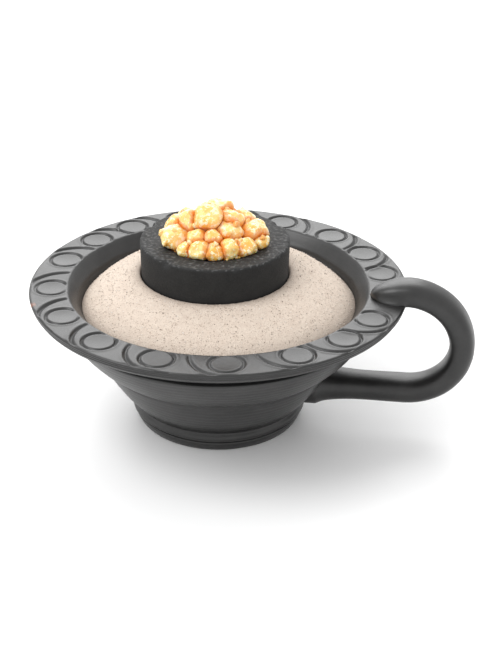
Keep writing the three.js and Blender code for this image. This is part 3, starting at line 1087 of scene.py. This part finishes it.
@dataclass
class ResinHeap:
    """The heap of resin lumps in the tablet's dish.

    A lump is tinted near its neighbours, as if light came through both. Crumbs lie round the heap's foot
    and chips on the lumps.
    """

    tablet: Tablet
    ceiling: float
    cuts: int = 3
    rounding: float = 0.2
    swell: float = 0.20
    facet_size: float = 2.3
    facet_depth: float = 0.55
    facet_middle: float = 0.4
    fine_size: float = 0.5
    fine_depth: float = 0.07
    lump_offset: float = 9.0
    neighbours: int = 40
    glow: float = 2.4
    glow_most: float = 1.05
    glow_from: float = 0.4
    lone_gap: float = 3.0
    least_warmth: float = 0.6
    warmth_range: float = 0.4
    warmth_step: float = 5.0
    crumbs: int = 46
    crumb_ring: tuple[float, float] = (11.2, 13.6)
    crumb_size: tuple[float, float] = (0.35, 0.8)
    crumb_lift: float = 0.5
    chips: int = 70
    chip_size: tuple[float, float] = (0.5, 1.1)
    chip_floor: float = 52.5
    chip_headroom: float = 1.6
    chip_roughness: float = 0.7
    chip_grain: float = 1.1
    tone_most: float = 0.8

    def corners(self) -> tuple[KDTree, list[str]]:
        """Gathers the corners of all the CAD's lumps.

        Returns:
            A tree of the corners, and the name of the lump that each belongs to.
        """
        found = [(name, v.co.copy()) for name in lump_names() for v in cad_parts[name].data.vertices]
        tree = KDTree(len(found))
        for index, (_, place) in enumerate(found):
            tree.insert(place, index)
        tree.balance()
        return tree, [name for name, _ in found]

    def build(self, material: bpy.types.Material) -> list[bpy.types.Object]:
        """Breaks up a refined copy of each CAD lump and colours it where lumps meet.

        Args:
            material: The resin's finish.

        Returns:
            The lumps.
        """
        tree, owners = self.corners()
        pieces = []
        for number, name in enumerate(lump_names()):
            bm = bmesh.new()
            bm.from_mesh(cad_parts[name].data)
            for layer in list(bm.loops.layers.uv):
                bm.loops.layers.uv.remove(layer)
            bmesh.ops.remove_doubles(bm, verts=bm.verts[:], dist=MERGE_GAP)
            bmesh.ops.subdivide_edges(
                bm, edges=bm.edges[:], cuts=self.cuts, use_grid_fill=True, smooth=self.rounding
            )
            bm.normal_update()
            tint = bm.verts.layers.float.new(Mark.TINT.value)
            warmth = self.least_warmth + self.warmth_range * math.sin(self.warmth_step * number) ** 2
            for vert in bm.verts:
                near = [d for _, i, d in tree.find_n(vert.co, self.neighbours) if owners[i] != name]
                gap = (near[0] if near else self.lone_gap * MM) / MM
                vert[tint] = min(max(self.glow_most - (gap - self.glow_from) / self.glow, 0.0), 1.0) * warmth
            moves = [self.move(vert, number) for vert in bm.verts]
            for vert, move in zip(bm.verts, moves):
                vert.co += move
                vert.co.z = min(vert.co.z, self.ceiling)
            chunk = name.replace(LUMP_NAME, "resin_chunk")
            pieces.append(to_piece(chunk, bm, material, Body.RESIN, [name]))
        return pieces

    def move(self, vert: bmesh.types.BMVert, number: int) -> Vector:
        """Tells how far a vertex moves to give its lump broken faces.

        Args:
            vert: The vertex, in metres.
            number: Its lump's number, so that no two lumps break alike.

        Returns:
            The move, in metres.
        """
        spot = vert.co / MM + Vector((number, 0, 0)) * self.lump_offset
        facet = noise.voronoi(spot / self.facet_size)[0][0]
        fine = noise.noise(spot / self.fine_size)
        rise = self.swell + self.facet_depth * (facet - self.facet_middle) + self.fine_depth * fine
        return vert.normal * rise * MM

    def strew(self, material: bpy.types.Material, dice: random.Random) -> bpy.types.Object:
        """Drops crumbs round the foot of the heap and chips on it.

        Args:
            material: The resin's finish.
            dice: The source of chance.

        Returns:
            The crumbs and chips, as one piece.
        """
        bm = bmesh.new()
        tint = bm.verts.layers.float.new(Mark.TINT.value)
        for spot, size in self.crumb_spots(dice) + self.chip_spots(dice):
            made = bmesh.ops.create_icosphere(
                bm, subdivisions=2, radius=size * MM, matrix=Matrix.Translation(spot * MM)
            )["verts"]
            tone = dice.random() * self.tone_most
            for vert in made:
                dent = noise.noise(vert.co / (size * self.chip_grain * MM))
                vert.co += (vert.co - spot * MM) * self.chip_roughness * dent
                vert[tint] = tone
        return to_piece("resin_crumbs", bm, material, Body.RESIN, [])

    def crumb_spots(self, dice: random.Random) -> list[tuple[Vector, float]]:
        """Chooses where crumbs lie in the dish.

        Args:
            dice: The source of chance.

        Returns:
            The place and size of each.
        """
        spots = []
        for _ in range(self.crumbs):
            radius, turn = dice.uniform(*self.crumb_ring), dice.uniform(0, 2 * math.pi)
            size = dice.uniform(*self.crumb_size)
            dip = self.tablet.dish_depth * (1 - (radius / self.tablet.dish_radius) ** 2)
            height = self.tablet.top - dip + size * self.crumb_lift
            x, y = TABLET_PLACE[0] + radius * math.cos(turn), TABLET_PLACE[1] + radius * math.sin(turn)
            spots.append((Vector((x, y, height)), size))
        return spots

    def chip_spots(self, dice: random.Random) -> list[tuple[Vector, float]]:
        """Chooses corners of the CAD's lumps where chips lie, away from the heap's foot and its top.

        Args:
            dice: The source of chance.

        Returns:
            The place and size of each.
        """
        names, spots = lump_names(), []
        for _ in range(self.chips):
            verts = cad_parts[dice.choice(names)].data.vertices
            place = verts[dice.randrange(len(verts))].co / MM
            size = dice.uniform(*self.chip_size)
            if self.chip_floor < place.z < self.ceiling / MM - self.chip_headroom:
                spots.append((place, size))
        return spots


@dataclass(frozen=True)
class Lamp:
    """A square lamp that faces the object, with its place and size in metres and its power in watts."""

    name: str
    place: tuple[float, float, float]
    size: float
    power: float

    def hang(self) -> None:
        """Puts the lamp in the scene."""
        data = bpy.data.lights.new(self.name, "AREA")
        data.size = self.size
        data.energy = self.power
        lamp = bpy.data.objects.new(self.name, data)
        lamp.location = self.place
        lamp.rotation_euler = (-Vector(self.place)).to_track_quat("-Z", "Y").to_euler()
        bpy.context.scene.collection.objects.link(lamp)


@dataclass(frozen=True)
class Studio:
    """The plain floor, soft lights and the photograph's camera."""

    distance: float = 395.03
    elevation: float = 31.045
    yaw: float = -1.277
    pitch: float = 3.359
    roll: float = 0.139
    turn: float = 10.7
    lens: float = 77.24
    sensor: float = 36.0
    near_clip: float = 10.0
    lamps: tuple[Lamp, ...] = (
        Lamp("key", (-0.60, -0.30, 0.95), size=0.60, power=6.0),
        Lamp("back", (-0.22, 1.05, 0.72), size=0.95, power=8.0),
    )
    sky: float = 1.05
    white: float = 1.0
    floor_half: float = 3000.0
    floor_drop: float = 0.1
    floor_tone: float = 0.94
    floor_roughness: float = 0.55

    def camera(self) -> None:
        """Sets the camera where the photograph was taken from."""
        rise = math.radians(self.elevation)
        place = Vector((0, -math.cos(rise), math.sin(rise))) * self.distance * MM
        ahead = Vector((0, math.cos(rise), -math.sin(rise)))
        up = Vector((0, math.sin(rise), math.cos(rise)))
        right = Vector((1, 0, 0))
        yaw = Matrix.Rotation(math.radians(self.yaw), 3, up)
        ahead, right = yaw @ ahead, yaw @ right
        pitch = Matrix.Rotation(math.radians(self.pitch), 3, right)
        ahead, up = pitch @ ahead, pitch @ up
        roll = Matrix.Rotation(math.radians(self.roll), 3, ahead)
        right, up = roll @ right, roll @ up
        pose = Matrix((right, up, -ahead)).transposed().to_4x4()
        pose.translation = place
        data = bpy.data.cameras.new("photo_camera")
        data.sensor_width = self.sensor
        data.lens = self.lens
        data.clip_start = self.near_clip * MM
        camera = bpy.data.objects.new("photo_camera", data)
        camera.matrix_world = Matrix.Rotation(math.radians(self.turn), 4, "Z") @ pose
        bpy.context.scene.collection.objects.link(camera)
        bpy.context.scene.camera = camera

    def lights(self) -> None:
        """Hangs the lamps and fills the sky with even light, which the camera sees as white."""
        for lamp in self.lamps:
            lamp.hang()
        world = bpy.data.worlds.new("sky")
        bpy.context.scene.world = world
        world.use_nodes = True
        graph = Graph(world.node_tree)
        path = graph.add("ShaderNodeLightPath")
        strength = graph.add(
            "ShaderNodeMapRange",
            {"Value": path.outputs["Is Camera Ray"], "To Min": self.sky, "To Max": self.white},
        )
        sky = graph.add(
            "ShaderNodeBackground", {"Color": (1.0, 1.0, 1.0, 1.0), "Strength": strength.outputs[0]}
        )
        graph.add("ShaderNodeOutputWorld", {"Surface": sky.outputs[0]})

    def floor(self) -> None:
        """Lays a large pale floor under the foot."""
        bm = bmesh.new()
        bmesh.ops.create_grid(bm, x_segments=2, y_segments=2, size=self.floor_half * MM)
        mesh = bpy.data.meshes.new("floor")
        bm.to_mesh(mesh)
        bm.free()
        floor = bpy.data.objects.new("floor", mesh)
        floor.location.z = -self.floor_drop * MM
        material = bpy.data.materials.new("pale_floor")
        material.use_nodes = True
        shader = material.node_tree.nodes["Principled BSDF"]
        shader.inputs["Base Color"].default_value = (self.floor_tone, self.floor_tone, self.floor_tone, 1.0)
        shader.inputs["Roughness"].default_value = self.floor_roughness
        mesh.materials.append(material)
        bpy.context.scene.collection.objects.link(floor)


def main() -> None:
    """Builds the looks in order and reports each piece."""
    logging.basicConfig(level=logging.INFO, format="%(name)s: %(message)s")
    bpy.context.scene.view_settings.view_transform = "Standard"
    dice = random.Random(SEED)
    pattern = Speckle().make()
    clay, sand, charcoal, resin = (finish.make(pattern) for finish in (CLAY, SAND, CHARCOAL, RESIN))
    Bowl().build(clay)
    Handle().build(clay)
    bed = SandBed()
    bed.build(sand)
    bed.scatter(sand, dice)
    tablet = Tablet()
    tablet.build(charcoal)
    heap = ResinHeap(tablet, ceiling=START_BOUNDS[1].z)
    heap.build(resin)
    heap.strew(resin, dice)
    studio = Studio()
    studio.camera()
    studio.lights()
    studio.floor()


if __name__ == "__main__":
    main()
